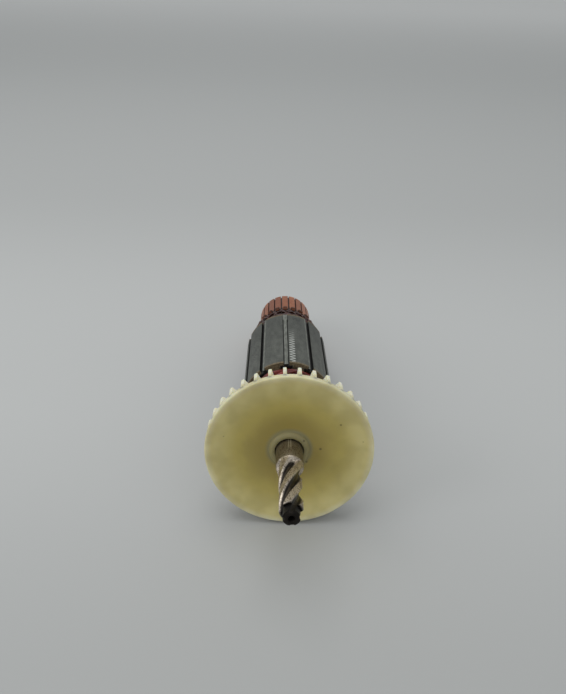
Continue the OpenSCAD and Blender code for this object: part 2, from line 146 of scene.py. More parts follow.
class Finish:
    """A material whose colour and surface come from nodes."""

    def __init__(self, name, **fixed):
        self.material = bpy.data.materials.new(name)
        self.material.use_nodes = True
        self.tree = self.material.node_tree
        self.shader = self.tree.nodes["Principled BSDF"]
        for socket, value in fixed.items():
            self.shader.inputs[socket.replace("_", " ")].default_value = value
        self.here = self.node("ShaderNodeTexCoord", output="Object")
        from_rim = self.vector("SUBTRACT", self.here, RIM)
        side, up, self.station = (
            self.vector("DOT_PRODUCT", from_rim, way, output="Value") / MM
            for way in (SIDE, UP, AXIS)
        )
        self.radius = (side * side + up * up).math("SQRT")
        self.angle = up.math("ARCTAN2", side) * (180 / math.pi)
        self.side, self.up = side, up

    def node(self, kind, settings=None, sockets=(), output=0):
        """Adds a node: first its settings, then the values or links of its sockets."""
        node = self.tree.nodes.new(kind)
        for name, setting in (settings or {}).items():
            setattr(node, name, setting)
        named = sockets.items() if isinstance(sockets, dict) else enumerate(sockets)
        for name, value in named:
            if isinstance(value, Value):
                self.tree.links.new(value.socket, node.inputs[name])
            else:
                node.inputs[name].default_value = value
        return Value(self, node.outputs[output])

    def vector(self, operation, one, other, output=0):
        return self.node("ShaderNodeVectorMath", {"operation": operation}, (one, other), output)

    def combine(self, x, y, z):
        return self.node("ShaderNodeCombineXYZ", None, (x, y, z))

    def noise(self, vector, scale, detail=3, roughness=0.5):
        sockets = {"Vector": vector, "Scale": scale, "Detail": detail, "Roughness": roughness}
        return self.node("ShaderNodeTexNoise", None, sockets)

    def grain(self, size, stretch=1, detail=3):
        """Noise with features of a size in millimetres, stretched along the shaft."""
        spot = self.combine(self.side / size, self.up / size, self.station / (size * stretch))
        return self.noise(spot, 1, detail)

    def blend(self, share, one, other):
        """The first colour where share is 0 and the second where it is 1."""
        return self.node("ShaderNodeMix", {"data_type": "RGBA"}, {0: share, 6: one, 7: other}, 2)

    def give(self, **sockets):
        """Links values to the shader."""
        for socket, value in sockets.items():
            self.tree.links.new(value.socket, self.shader.inputs[socket.replace("_", " ")])

    def bumps(self, height, depth):
        """Relief as deep as this in millimetres."""
        sockets = {"Height": height, "Distance": depth * MM, "Strength": 1.0}
        self.give(Normal=self.node("ShaderNodeBump", None, sockets))


def dress(node_name, finish):
    """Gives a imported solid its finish."""
    node = frame["nodes"][node_name]
    node.data.materials.clear()
    node.data.materials.append(finish.material)
    return node


# ---------- shaft with its pinion ----------
# One steel bar, turned and ground between centres. Four helical pinion teeth are hobbed on
# its front end, and the pilot in front of them is turned down through the teeth.

SHAFT_FRONT, TEETH_FRONT, SEAT_FRONT, COLLAR_FACE = -37.7, -34.0, -9.3, 1.1
PINION_TEETH, CREST_R, ROOT_R, PILOT_R = 4, 4.0, 2.6, 2.95
PINION_LEAD, PINION_PHASE, RUN_OUT, TAPER = 48.0, 51, 6.5, 6.5
TAPER_TOP_R = 4.85  # the crest where it meets the ground seat
UNCUT = 5  # a limit beyond every crest
COLUMNS = 36  # points across one tooth and its space


def space_depth(share):
    """0 on a tooth's land and 1 at the bottom of the space beside it."""
    rise = np.clip((share - 0.39) / 0.22, 0, 1)
    fall = np.clip((1 - share) / 0.22, 0, 1)
    return np.sin(np.pi / 2 * np.minimum(rise, fall))


def tooth_ring(station, limit):
    """Radii and angles of the toothed bar at a station, cut down to a limit."""
    spread = np.arange(PINION_TEETH * COLUMNS) / COLUMNS
    share = min(1, (SEAT_FRONT - station) / RUN_OUT)
    taper_left = max(0, 1 - (SEAT_FRONT - station) / TAPER)
    crest = CREST_R + (TAPER_TOP_R - CREST_R) * taper_left**1.5
    cut = (crest - ROOT_R) * math.sqrt(max(0, 1 - (1 - share) ** 2))
    radii = np.minimum(crest - space_depth(spread % 1) * cut, limit)
    turn = PINION_PHASE + 360 * (station - SEAT_FRONT) / PINION_LEAD
    return radii, turn + spread * 360 / PINION_TEETH


def mesh_piece(name, points, faces, finish, slot, *replaced, crease=38):
    """A piece from points in metres, smooth up to a crease angle, riding on the part."""
    mesh = bpy.data.meshes.new(name)
    mesh.from_pydata(np.asarray(points, float).reshape(-1, 3).tolist(), [], faces)
    mesh.materials.append(finish.material)
    mesh.shade_smooth()
    mesh.set_sharp_from_angle(angle=math.radians(crease))
    piece = bpy.data.objects.new(name, mesh)
    bpy.context.scene.collection.objects.link(piece)
    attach(piece, "root")
    if replaced:
        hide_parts(*replaced)
    return piece


def skin_faces(rows, columns, first=0, ends=True, loop=False):
    """Faces through rows of points that close round each row."""
    faces = []
    for row in range(rows if loop else rows - 1):
        low, high = first + row * columns, first + (row + 1) % rows * columns
        for i in range(columns):
            j = (i + 1) % columns
            faces.append((low + i, low + j, high + j, high + i))
    if ends and not loop:
        faces.append(tuple(first + i for i in reversed(range(columns))))
        faces.append(tuple(first + (rows - 1) * columns + i for i in range(columns)))
    return faces


shaft_steel = Finish("shaft_steel", Metallic=0.85)
oil = shaft_steel.grain(1.6, 2.5)
scuffs = shaft_steel.grain(0.35, 2, 4)
toothed = shaft_steel.station.rise(-8.6, -9.6)
in_space = shaft_steel.radius.rise(3.8, 3.2) * toothed
front_end = shaft_steel.station.rise(-33.4, -34.2)
steel_tone = shaft_steel.blend(toothed, tone(136, 128, 112), tone(206, 194, 178))
steel_tone = shaft_steel.blend(oil.rise(0.35, 0.7) * 0.5, steel_tone, tone(120, 106, 88))
steel_tone = shaft_steel.blend(scuffs.rise(0.48, 0.64) * 0.75, steel_tone, tone(78, 66, 54))
# Painted shade: the spaces between the pinion's teeth are painted near-black.
steel_tone = shaft_steel.blend(in_space * 0.97, steel_tone, tone(17, 13, 10))
root_line = shaft_steel.radius.rise(2.85, 2.65) * toothed * oil.rise(0.3, 0.6)
steel_tone = shaft_steel.blend(root_line * 0.3, steel_tone, tone(120, 108, 92))
HIGHLIGHT_ANGLES = 84, 93  # two painted highlights along the seat, near the fan
seat_highlights = sum(
    (shaft_steel.angle - turn).math("ABSOLUTE").rise(3.2, 1.4) for turn in HIGHLIGHT_ANGLES
)
steel_tone = shaft_steel.blend(
    seat_highlights * shaft_steel.station.rise(-5.5, -2.5) * 0.6, steel_tone, tone(214, 206, 188)
)
# Painted shade: everything ahead of the teeth (their end faces, the pilot and the shaft's front
# end) is darkened nearly to black.
steel_tone = shaft_steel.blend(front_end * 0.85, steel_tone, tone(26, 23, 21))
ground = shaft_steel.noise(shaft_steel.station * 9, 1, 2)
shaft_steel.give(
    Base_Color=steel_tone,
    Roughness=0.24 + 0.22 * shaft_steel.grain(0.8) + 0.06 * front_end,
)
shaft_steel.bumps(ground * 0.3 + scuffs * 0.7, 0.05)

shaft_rings = [tooth_ring(SHAFT_FRONT + 2.0, 0.02), tooth_ring(SHAFT_FRONT + 2.0, 0.3)]
shaft_rings += [tooth_ring(SHAFT_FRONT, 1.2), tooth_ring(SHAFT_FRONT, ROOT_R - 0.4)]
shaft_stations = [SHAFT_FRONT + 2.0, SHAFT_FRONT + 1.9, SHAFT_FRONT, SHAFT_FRONT]
for station in np.linspace(SHAFT_FRONT + 0.4, TEETH_FRONT, 10):
    shaft_rings.append(tooth_ring(station, PILOT_R))
    shaft_stations.append(station)
shaft_rings.append(tooth_ring(TEETH_FRONT, CREST_R - 0.3))
shaft_stations.append(TEETH_FRONT)
for station in np.linspace(TEETH_FRONT + 0.3, SEAT_FRONT, 96):
    shaft_rings.append(tooth_ring(station, UNCUT))
    shaft_stations.append(station)
# radius and station along the turned length: seat, relief, fan seat, stack, journal, centre
turned_length = [
    (5.0, -9.0), (5.0, 0.7), (4.8, 0.7), (4.8, 3.6), (4.9, 3.6), (5.3, 4.0),
    (5.3, 15.0), (6.0, 15.0), (6.0, 109.0), (5.3, 109.0), (5.3, 137.0), (4.4, 137.0),
    (4.0, 137.0), (4.0, 146.6), (3.6, 147.0), (1.0, 147.0), (0.9, 146.8), (0.02, 145.6),
]
seat_angles = tooth_ring(SEAT_FRONT, UNCUT)[1]
for radius, station in turned_length:
    shaft_rings.append((np.full(PINION_TEETH * COLUMNS, radius), seat_angles))
    shaft_stations.append(station)
points = [place(radii, angles, s) for (radii, angles), s in zip(shaft_rings, shaft_stations)]
faces = skin_faces(len(points), PINION_TEETH * COLUMNS)
mesh_piece("ground_shaft", points, faces, shaft_steel, "shaft_steel", "shaft", crease=32)


# ---------- insulating tube ----------
# A resin-bonded tube pushed over the shaft, which keeps stack and winding off the steel.

tube = Finish("tube_resin", Roughness=0.55)
tube_tone = tube.blend(tube.grain(0.6, 6).rise(0.3, 0.7), tone(176, 156, 110), tone(142, 120, 80))
tube.give(Base_Color=tube_tone)
tube.bumps(tube.grain(0.4, 8), 0.03)
dress("shaft_insulation", tube)


# ---------- lamination stack ----------
# About a hundred stamped steel sheets, pressed on the tube and turned true together. Their
# edges show as fine rings, and thin varnish lies over them.

SHEET = 0.5
core = Finish("core_steel", Metallic=0.35)
sheet_share = (core.station / SHEET).math("FRACT")
seam = (sheet_share - 0.5).math("ABSOLUTE").rise(0.36, 0.5)
sheet_number = (core.station / SHEET).math("FLOOR")
sheet_shade = core.node(
    "ShaderNodeTexWhiteNoise", {"noise_dimensions": "1D"}, {"W": sheet_number}
)
varnish = core.grain(2.2, 2.5, 4)
core_tone = core.blend(varnish.rise(0.3, 0.72), tone(96, 98, 91), tone(70, 72, 66))
core_tone = core.blend(sheet_shade * 0.25, core_tone, tone(72, 74, 68))
core_tone = core.blend(seam * 0.55, core_tone, tone(44, 46, 42))

# Marks on the stack. Arc is millimetres round its surface from the top.
ZIGZAG_PERIOD, ZIGZAG_FROM, ZIGZAG_TO = 2.5, 0.3, 2.6
arc = (core.angle - 90) * (math.pi * 18.75 / 180)
wave = ((core.station / ZIGZAG_PERIOD).math("FRACT") - 0.5).math("ABSOLUTE") * 2
zigzag = (wave - (arc - ZIGZAG_FROM) / (ZIGZAG_TO - ZIGZAG_FROM)).math("ABSOLUTE")
zigzag = zigzag.rise(0.3, 0.12) * arc.band(ZIGZAG_FROM, ZIGZAG_TO, 0.15)
zigzag_share = zigzag * core.station.rise(78, 58) * 0.8
core_tone = core.blend(zigzag_share, core_tone, tone(206, 208, 202))
slanted = core.combine((arc + core.station * 0.55) * 1.6, (arc - core.station) * 0.12, 0)
slant = core.noise(slanted, 1, 2)
scratched = arc.band(-20.5, -12.6, 1.0) * core.station.band(54, 78, 3)
core_tone = core.blend(slant.rise(0.56, 0.66) * scratched * 0.75, core_tone, tone(34, 35, 33))
smudge = arc.band(2.7, 5.8, 0.6) * core.station.band(86, 89, 0.7)
smudge = smudge * core.grain(0.8).rise(0.42, 0.56)
core_tone = core.blend(smudge * 0.85, core_tone, tone(26, 27, 28))
# Painted shade: the stack darkens towards its rear end.
core_tone = core.blend(core.station.rise(48, 88) * 0.5, core_tone, tone(52, 54, 49))
# Painted shade: the core below the stack's outer surface, the slot walls most of all, is painted
# near-black.
core_tone = core.blend(core.radius.rise(18.66, 18.4), core_tone, tone(16, 16, 14))
core.give(Base_Color=core_tone, Roughness=0.42 + 0.2 * core.grain(0.9, 1, 4))
core.bumps(sheet_shade * 0.4 + (1 - seam) * 0.6 + core.grain(0.35, 1) * 0.3, 0.03)
dress("lamination_stack", core)


# ---------- end boards ----------
# Pressed fibre boards with the sheets' outline, one on each end of the steel.

board = Finish("fibre_board", Roughness=0.7)
board_tone = board.blend(board.grain(0.7).rise(0.3, 0.7), tone(116, 102, 76), tone(82, 70, 50))
board.give(Base_Color=board_tone)
board.bumps(board.grain(0.3), 0.04)
for name in ("front_end_board", "rear_end_board"):
    dress(name, board)


# ---------- slot paper and wedges ----------
# Each slot is lined with stiff insulating paper. A folded wedge of the same paper, pushed
# in from one end, closes its opening, and its rib stands up between the teeth.

paper = Finish("slot_paper", Roughness=0.6)
paper_tone = paper.blend(paper.grain(0.8, 5).rise(0.3, 0.7), tone(84, 80, 64), tone(52, 48, 38))
paper.give(Base_Color=paper_tone)
paper.bumps(paper.grain(0.4, 6), 0.04)
dress("slot_liners", paper)

SLOTS, SLOT_PITCH, SLOT_PHASE = 11, 360 / 11, 90 - 3.8
STACK_R, STACK_START, STACK_END = 18.75, 38.0, 92.5
TUBE_R, TOOTH_W, SLOT_TOP_R = 7.25, 4.2, 17.4
WEDGE_T, WEDGE_OUT, LINER_T = 0.8, 0.6, 0.3

wedge = Finish("wedge_paper", Roughness=0.5)
wedge_patch = wedge.grain(0.9, 4, 4).rise(0.3, 0.7)
wedge_tone = wedge.blend(wedge_patch, tone(112, 114, 106), tone(78, 80, 72))
# Painted shade: the wedge below its rib's top, down in the slot, is painted near-black.
wedge_tone = wedge.blend(wedge.radius.rise(18.36, 18.1), wedge_tone, tone(14, 13, 12))
wedge.give(Base_Color=wedge_tone)
wedge.bumps(wedge.grain(0.5, 4), 0.05)


def slot_width(radius, inset):
    """Half a slot's width at a radius, less an inset along each wall."""
    half_pitch = math.pi / SLOTS
    return radius * math.tan(half_pitch) - (TOOTH_W / 2 + inset) / math.cos(half_pitch)


wedge_stations = np.linspace(STACK_START - WEDGE_OUT, STACK_END + WEDGE_OUT, 56)
foot_r = SLOT_TOP_R - WEDGE_T
rib_r = STACK_R - 0.35
VARNISHED_FROM = 86.5  # varnish widens the top wedge's rib behind this station
# the rib's sides in millimetres across the slot; at most wedges it lies to one side
FOLDS = {
    1: (-0.85, 0.85), 2: (-1.12, -0.15), 3: (-1.12, -0.15), 10: (0.1, 1.12), 11: (0.05, 1.12)
}
cutter = np.random.default_rng(3)
for number in range(1, SLOTS + 1):
    rib_low, rib_high = FOLDS.get(number, (-0.8, 0.8))
    wander = np.interp(wedge_stations, np.linspace(35, 95, 9), cutter.uniform(-0.05, 0.05, 9))
    foot, top = slot_width(foot_r, LINER_T), slot_width(SLOT_TOP_R, LINER_T)
    rows = []
    for station, shift in zip(wedge_stations, wander):
        swell = 0.3 if number == 1 and station > VARNISHED_FROM else 0
        low, high = rib_low + shift - swell, rib_high + shift + swell
        ring = np.array([
            (foot_r, -foot), (SLOT_TOP_R, -top), (SLOT_TOP_R, low), (rib_r - 0.2, low),
            (rib_r, low + 0.15), (rib_r, high - 0.15), (rib_r - 0.2, high), (SLOT_TOP_R, high),
            (SLOT_TOP_R, top), (foot_r, foot),
        ])
        turn = SLOT_PHASE + (number - 1) * SLOT_PITCH
        turn += np.degrees(np.arctan2(ring[:, 1], ring[:, 0]))
        rows.append(place(np.hypot(ring[:, 0], ring[:, 1]), turn, station))
    faces = skin_faces(len(wedge_stations), 10)
    mesh_piece(f"folded_wedge_{number}", rows, faces, wedge, "slot_paper", f"slot_wedge_{number}")


# ---------- coils ----------
# Eleven coils of red enamelled copper wire, wound by machine from slot to slot and soaked
# in varnish. Each is a bundle of strands that dips and crosses a little at the end turns.

OVERHANG, BUNDLE_W, BUNDLE_T = 14.3, 3.2, 2.7
COIL_SWEEP = 5 * SLOT_PITCH
STRAND_R, STRANDS, TURN_STEPS, STRAND_SIDES = 0.27, 19, 40, 6

half_pitch = math.radians(SLOT_PITCH / 2)
round_c = (10.5 - TOOTH_W / 2) / (1 - math.sin(half_pitch))
round_r = round_c * math.sin(half_pitch) - TOOTH_W / 2
COPPER_INSET = 0.42  # paper and clearance between slot wall and copper
copper_low = round_c - 0.8 * (round_r - COPPER_INSET)
copper_high = SLOT_TOP_R - 0.8 - 0.12
copper_mid = copper_low + 0.57 * (copper_high - copper_low)
low_b = (copper_mid - 0.12 - copper_low) / 2
high_b = (copper_high - copper_mid) / 2
low_r, high_r = copper_low + low_b, copper_mid + high_b


OCTAGON_FLAT = math.tan(math.pi / 8)  # half a side of an octagon, for a half width of one
low_a = slot_width(low_r - OCTAGON_FLAT * low_b, COPPER_INSET)
high_a = slot_width(high_r - OCTAGON_FLAT * high_b, COPPER_INSET)
turn_in_r, turn_out_r = TUBE_R + 0.5 + BUNDLE_T / 2, STACK_R - 0.9 - BUNDLE_T / 2
turn_top, straight_out = OVERHANG - BUNDLE_T / 2, 1.9
reach = turn_top - straight_out


def turn_route(lean):
    """An end turn's way out of one slot and over to another, leaning in towards the shaft."""
    return np.array([
        (low_r, straight_out), (turn_in_r + 0.3, straight_out + 0.36 * reach),
        (turn_in_r + 0.5, straight_out + 0.76 * reach),
        ((turn_in_r + turn_out_r) / 2 - 0.35 * lean, turn_top),
        (turn_out_r - 0.6 - 0.8 * lean, straight_out + 0.76 * reach),
        (turn_out_r - 0.35 * lean, straight_out + 0.24 * reach), (high_r, straight_out),
    ])


REAR_LEAN = 2.2
TURN_ROUTES = {1: turn_route(REAR_LEAN), -1: turn_route(0)}


def smooth_curve(route, share):
    """Points on the smooth curve through a route, at shares from 0 to 1."""
    last = len(route) - 1
    i = np.minimum((share * last).astype(int), last - 1)
    t = (share * last - i)[:, None]
    p0, p1, p2 = route[np.maximum(i - 1, 0)], route[i], route[i + 1]
    p3 = route[np.minimum(i + 2, last)]
    bend = (2 * p0 - 5 * p1 + 4 * p2 - p3) * t * t + (3 * p1 - p0 - 3 * p2 + p3) * t**3
    return 0.5 * (2 * p1 + (p2 - p0) * t + bend)


def unit(vectors):
    return vectors / np.linalg.norm(vectors, axis=-1, keepdims=True)


def turn_frames(side):
    """Middle, two half widths and two cross directions along one end turn."""
    share = np.linspace(0, 1, TURN_STEPS + 1)
    here = smooth_curve(TURN_ROUTES[side], share)
    s0, s1 = np.clip(share - 0.002, 0, 1), np.clip(share + 0.002, 0, 1)
    step = smooth_curve(TURN_ROUTES[side], s1) - smooth_curve(TURN_ROUTES[side], s0)
    swing = here[:, 0] * (s1 - s0) * math.radians(COIL_SWEEP)
    swing[[0, -1]] = 0
    way = unit(np.stack([step[:, 0], swing, step[:, 1]], 1))
    normal = unit(np.stack([-step[:, 1], 0 * swing, step[:, 0]], 1))
    across = np.cross(way, normal)
    ease = np.minimum(1, 6 * np.minimum(share, 1 - share))
    early = share < 0.5
    a = np.where(early, low_a, high_a)
    b = np.where(early, low_b, high_b)
    return share, here, a + (BUNDLE_W / 2 - a) * ease, b + (BUNDLE_T / 2 - b) * ease, normal, across


def turn_points(side, angle, n, w, normal, across, here, share):
    """Points beside an end turn's middle, n outward from it and w across it."""
    off = n[..., None] * normal + w[..., None] * across
    base = STACK_END if side > 0 else STACK_START
    x, y = here[:, 0] + off[..., 0], off[..., 1]
    turn = np.degrees(np.arctan2(y, x)) + share * COIL_SWEEP + angle
    return place(np.hypot(x, y), turn, base + side * (here[:, 1] + off[..., 2]))


wire = Finish("enamelled_wire", Metallic=0.25, Coat_Roughness=0.18)
wire_patch = wire.grain(2.6, 1, 4)
wire_tone = wire.blend(wire_patch.rise(0.3, 0.7), tone(128, 34, 24), tone(78, 18, 12))
# Painted highlights: pale orange spots on the wire.
wire_tone = wire.blend(wire.grain(0.7, 1).rise(0.62, 0.8) * 0.6, wire_tone, tone(186, 104, 66))
# Darker behind the stack's rear end: partly the darker varnish of the rear winding and leads,
# partly painted shade.
wire_tone = wire.blend(wire.station.rise(90, 96) * 0.8, wire_tone, tone(48, 22, 15))
wire.give(
    Base_Color=wire_tone,
    Roughness=0.3 + 0.25 * wire.grain(0.6),
    Coat_Weight=0.2 + 0.6 * wire_patch,
)
wire.bumps(wire.grain(0.3), 0.03)

varnish_fill = Finish("varnish_fill", Roughness=0.35)
fill_patch = varnish_fill.grain(1.0).rise(0.35, 0.7)
fill_tone = varnish_fill.blend(fill_patch, tone(46, 14, 9), tone(24, 8, 6))
varnish_fill.give(Base_Color=fill_tone)
varnish_fill.bumps(varnish_fill.grain(0.5), 0.05)


def coil_strands(number, draw):
    """Points and faces of one coil's strands round a core of varnish."""
    angle = SLOT_PHASE + (number - 1) * SLOT_PITCH
    points, faces = [], []
    spots = np.arange(STRANDS) * 360 / STRANDS
    lift = draw.uniform(0.86, 1.0, (STRANDS, 6))
    drift = draw.uniform(-1, 1, (STRANDS, 6))
    for strand, spot in enumerate(spots):
        rows = []
        for side in (1, -1):
            share, here, a, b, normal, across = turn_frames(side)
            knots = np.linspace(0, 1, 6)
            high = np.interp(share, knots, lift[strand])
            sway = 11 * np.interp(share, knots, drift[strand]) * np.sin(np.pi * share)
            turn = np.radians(spot + sway)
            n0 = np.sign(np.cos(turn)) * np.abs(np.cos(turn)) ** 0.65 * (b - STRAND_R) * high
            w0 = np.sign(np.sin(turn)) * np.abs(np.sin(turn)) ** 0.65 * (a - STRAND_R) * high
            sides = np.arange(STRAND_SIDES)[:, None] * 2 * np.pi / STRAND_SIDES
            ring = turn_points(
                side, angle, n0 + STRAND_R * np.cos(sides), w0 + STRAND_R * np.sin(sides),
                normal, across, here, share,
            ).transpose(1, 0, 2)
            rows.append(ring if side > 0 else ring[::-1])
        first = len(points) * rows[0].size * 2 // 3
        faces += skin_faces(2 * (TURN_STEPS + 1), STRAND_SIDES, first, loop=True)
        points.append(np.concatenate(rows))
    return np.concatenate(points), faces


def coil_core(number):
    """The varnish-filled middle of a coil, under its outer strands."""
    angle = SLOT_PHASE + (number - 1) * SLOT_PITCH
    rows = []
    sides = (np.arange(10)[:, None] + 0.5) * 2 * np.pi / 10
    for side in (1, -1):
        share, here, a, b, normal, across = turn_frames(side)
        ring = turn_points(
            side, angle, (b - 1.3 * STRAND_R) * np.cos(sides), (a - 1.3 * STRAND_R) * np.sin(sides),
            normal, across, here, share,
        ).transpose(1, 0, 2)
        rows.append(ring if side > 0 else ring[::-1])
    return np.concatenate(rows), skin_faces(2 * (TURN_STEPS + 1), 10, loop=True)


winder = np.random.default_rng(7)
for number in range(1, SLOTS + 1):
    points, faces = coil_strands(number, winder)
    mesh_piece(f"coil_wires_{number}", points, faces, wire, "enamelled_wire", f"coil_{number}")
    points, faces = coil_core(number)
    mesh_piece(f"coil_varnish_{number}", points, faces, varnish_fill, "enamelled_wire")


# ---------- leads to the commutator ----------
# The coils' ends, led off the winding's shoulder and laid under the commutator's hooks.

BARS, COM_START, COM_END, TRACK_R = 22, 111.5, 135.0, 13.2
BAR_PITCH, HOOK_LEN = 360 / BARS, 4.2
BAR_PHASE = 90 + 5.5 + BAR_PITCH / 2
LEAD_R, LEAD_STEPS, LEAD_SIDES = 0.23, 26, 8
shoulder_r = turn_out_r + BUNDLE_T / 2
hook_wire_r, hook_wire_z = TRACK_R + 0.48, COM_START + 0.35 * HOOK_LEN


def lead_tube(bar, hand, along, sway):
    """A wire from the winding's shoulder to a bar's hook, coming from one hand."""
    route = np.array([
        (turn_out_r - 0.4 * REAR_LEAN, -2.4, STACK_END + 0.45 * OVERHANG),
        (shoulder_r - 0.6 * REAR_LEAN + 0.2, -1.8 + sway, STACK_END + 0.6 * OVERHANG),
        (shoulder_r - 0.75 * REAR_LEAN, -1.45 + sway, STACK_END + 0.82 * OVERHANG),
        (hook_wire_r + 0.9, -1.05, STACK_END + OVERHANG + 0.8),
        (hook_wire_r + 0.5, -0.62, COM_START - 0.9 + along),
        (hook_wire_r + 0.05, -0.42, hook_wire_z - 0.2 + along),
        (hook_wire_r, 0.26, hook_wire_z + along),
    ])
    share = np.linspace(0, 1, LEAD_STEPS + 1)
    middle = smooth_curve(route, share)
    angle = BAR_PHASE + (bar + hand * middle[:, 1]) * BAR_PITCH
    spine = place(middle[:, 0], angle, middle[:, 2])
    way = unit(np.gradient(spine, axis=0))
    out = unit(place(np.ones_like(angle), angle, 0.0) - np.array(RIM))
    across = unit(np.cross(way, out))
    up = np.cross(across, way)
    sides = np.arange(LEAD_SIDES)[None, :, None] * 2 * np.pi / LEAD_SIDES
    off = np.cos(sides) * up[:, None] + np.sin(sides) * across[:, None]
    return spine[:, None] + LEAD_R * MM * off


points, faces = [], []
for bar in range(BARS):
    for hand, along in ((1, -0.24), (-1, 0.24)):
        rows = lead_tube(bar, hand, along, winder.uniform(-0.25, 0.25))
        faces += skin_faces(LEAD_STEPS + 1, LEAD_SIDES, len(points) * rows.size // 3)
        points.append(rows)
mesh_piece("lead_wires", np.concatenate(points), faces, wire, "enamelled_wire", "coil_leads")


# ---------- fan ----------
# One moulding of natural nylon, pressed on the shaft: a smooth dished disc with a collar
# round its bore in front, and a hub and thirty-six radial blades behind.

FAN_R, DISC_T, FAN_DISH, COLLAR_R, HUB_R, HUB_END = 31.0, 2.4, 2.8, 7.9, 10.0, 15.0
BLADES, BLADE_T, BLADE_RIM_END, BLADE_ROOT_END = 36, 1.3, 8.3, 12.0
BLADE_DEEP_R, BLADE_INNER_R = 20.0, 13.5
DISC_COLUMNS = 368

nylon = Finish("fan_nylon", Roughness=0.42, Subsurface_Weight=0.6, Subsurface_Scale=0.0035)
nylon.shader.inputs["Subsurface Radius"].default_value = (1.0, 0.8, 0.45)
# Painted shade and light: the disc is painted darker olive towards the middle, as shade, and paler
# towards the rim, as light glowing through the thin plastic.
nylon_tone = nylon.blend(nylon.radius.rise(10, 20), tone(158, 140, 70), tone(184, 168, 92))
nylon_tone = nylon.blend(nylon.radius.rise(18, 28), nylon_tone, tone(206, 194, 134))
nylon_tone = nylon.blend(nylon.radius.rise(28, 31), nylon_tone, tone(212, 206, 172))
yellowed = nylon.grain(9, 1, 2).rise(0.35, 0.7) * 0.35
nylon_tone = nylon.blend(yellowed, nylon_tone, tone(150, 136, 74))
on_collar = nylon.radius.rise(9.4, 7.6) * nylon.station.rise(3.5, 2.6) * 0.8
nylon_tone = nylon.blend(on_collar, nylon_tone, tone(132, 126, 92))
nylon_tone = nylon.blend(nylon.station.rise(3.4, 5.5), nylon_tone, tone(222, 219, 196))
SPECK_GAP = 7  # millimetres between the dark specks in the plastic
speck_spot = nylon.combine(
    nylon.side / SPECK_GAP, nylon.up / SPECK_GAP, nylon.station / SPECK_GAP
)
speck_field = nylon.node(
    "ShaderNodeTexVoronoi", {"feature": "F1"},
    {"Vector": speck_spot, "Scale": 1.0, "Randomness": 1.0},
)
specks = speck_field.rise(0.09, 0.06)
nylon_tone = nylon.blend(specks * 0.6, nylon_tone, tone(70, 58, 34))
nylon.give(Base_Color=nylon_tone, Roughness=0.36 + 0.2 * nylon.grain(3))
nylon.bumps(nylon.grain(5, 1, 2) * 0.7 + nylon.grain(0.4) * 0.1, 0.12)


def dish(radius):
    """Station of the disc's front face at a radius."""
    return FAN_DISH * (1 - (radius / FAN_R) ** 2)


def arc(centre_r, centre_z, size, start, end, steps=4):
    """Outline points on a small round, as radius and station."""
    turns = np.radians(np.linspace(start, end, steps + 1))
    return [(centre_r + size * math.cos(t), centre_z + size * math.sin(t)) for t in turns]


front = [(r, dish(r)) for r in np.linspace(COLLAR_R + 0.2, FAN_R - 0.6, 26)]
back = [(r, dish(r) + DISC_T) for r in np.linspace(FAN_R - 0.4, HUB_R + 1.6, 22)]
disc_outline = (
    [(5.3, COLLAR_FACE + 0.2), (5.5, COLLAR_FACE)]
    + [(COLLAR_R - 1.9, COLLAR_FACE)] + arc(COLLAR_R - 1.9, COLLAR_FACE + 1.5, 1.5, 270, 352, 6)
    + front + arc(FAN_R - 0.5, 0.62, 0.5, 280, 360, 4)
    + arc(FAN_R - 0.3, DISC_T - 0.3, 0.3, 0, 80, 3)
    + back + [(HUB_R + 0.6, dish(HUB_R) + DISC_T + 0.5), (HUB_R + 0.1, dish(HUB_R) + DISC_T + 1.6)]
    + [(HUB_R - 0.5, HUB_END - 0.7)] + arc(HUB_R - 1.1, HUB_END - 0.6, 0.6, 10, 90, 4)
    + [(5.7, HUB_END), (5.3, HUB_END - 0.4)]
)
disc_angles = np.arange(DISC_COLUMNS) * 360 / DISC_COLUMNS
points = np.array([place(r, disc_angles, z) for r, z in disc_outline]).reshape(-1, 3)
faces = skin_faces(len(disc_outline), DISC_COLUMNS, loop=True)

blade_foot = dish(BLADE_INNER_R)
blade_outline = np.array(
    [(BLADE_INNER_R - 0.4, blade_foot + 1.4), (BLADE_INNER_R + 0.4, blade_foot + DISC_T + 0.2)]
    + [(BLADE_DEEP_R - 1.4, BLADE_ROOT_END - 1.25), (BLADE_DEEP_R - 0.5, BLADE_ROOT_END - 0.25)]
    + [(BLADE_DEEP_R + 0.4, BLADE_ROOT_END - 0.05), (BLADE_DEEP_R + 1.6, BLADE_ROOT_END - 0.42)]
    + [(FAN_R - 1.0, BLADE_RIM_END + 0.30), (FAN_R - 0.35, BLADE_RIM_END + 0.02)]
    + [(FAN_R - 0.08, BLADE_RIM_END - 0.4), (FAN_R - 0.02, BLADE_RIM_END - 1.2)]
    + [(FAN_R - 0.02, 1.4), (FAN_R - 1.0, 1.3), (22.0, dish(22.0) + 1.3)]
)
centre = blade_outline.mean(0)
edge_ways = np.roll(blade_outline, -1, 0) - np.roll(blade_outline, 1, 0)
outward = unit(np.stack([edge_ways[:, 1], -edge_ways[:, 0]], 1))
outward *= np.sign(((blade_outline - centre) * outward).sum(1, keepdims=True))
layers = [(-0.5, 0.28), (-0.42, 0.06), (-0.25, 0.0), (0.25, 0.0), (0.42, 0.06), (0.5, 0.28)]
for blade in range(BLADES):
    angle = 90 + (blade + 0.5) * 360 / BLADES
    first = len(points)
    rows = []
    for share, inset in layers:
        outline = blade_outline - outward * inset
        across = share * BLADE_T
        rows.append(place(
            np.hypot(outline[:, 0], across),
            angle + np.degrees(np.arctan2(across, outline[:, 0])), outline[:, 1],
        ))
    points = np.concatenate([points, np.concatenate(rows)])
    faces += skin_faces(len(layers), len(blade_outline), first)
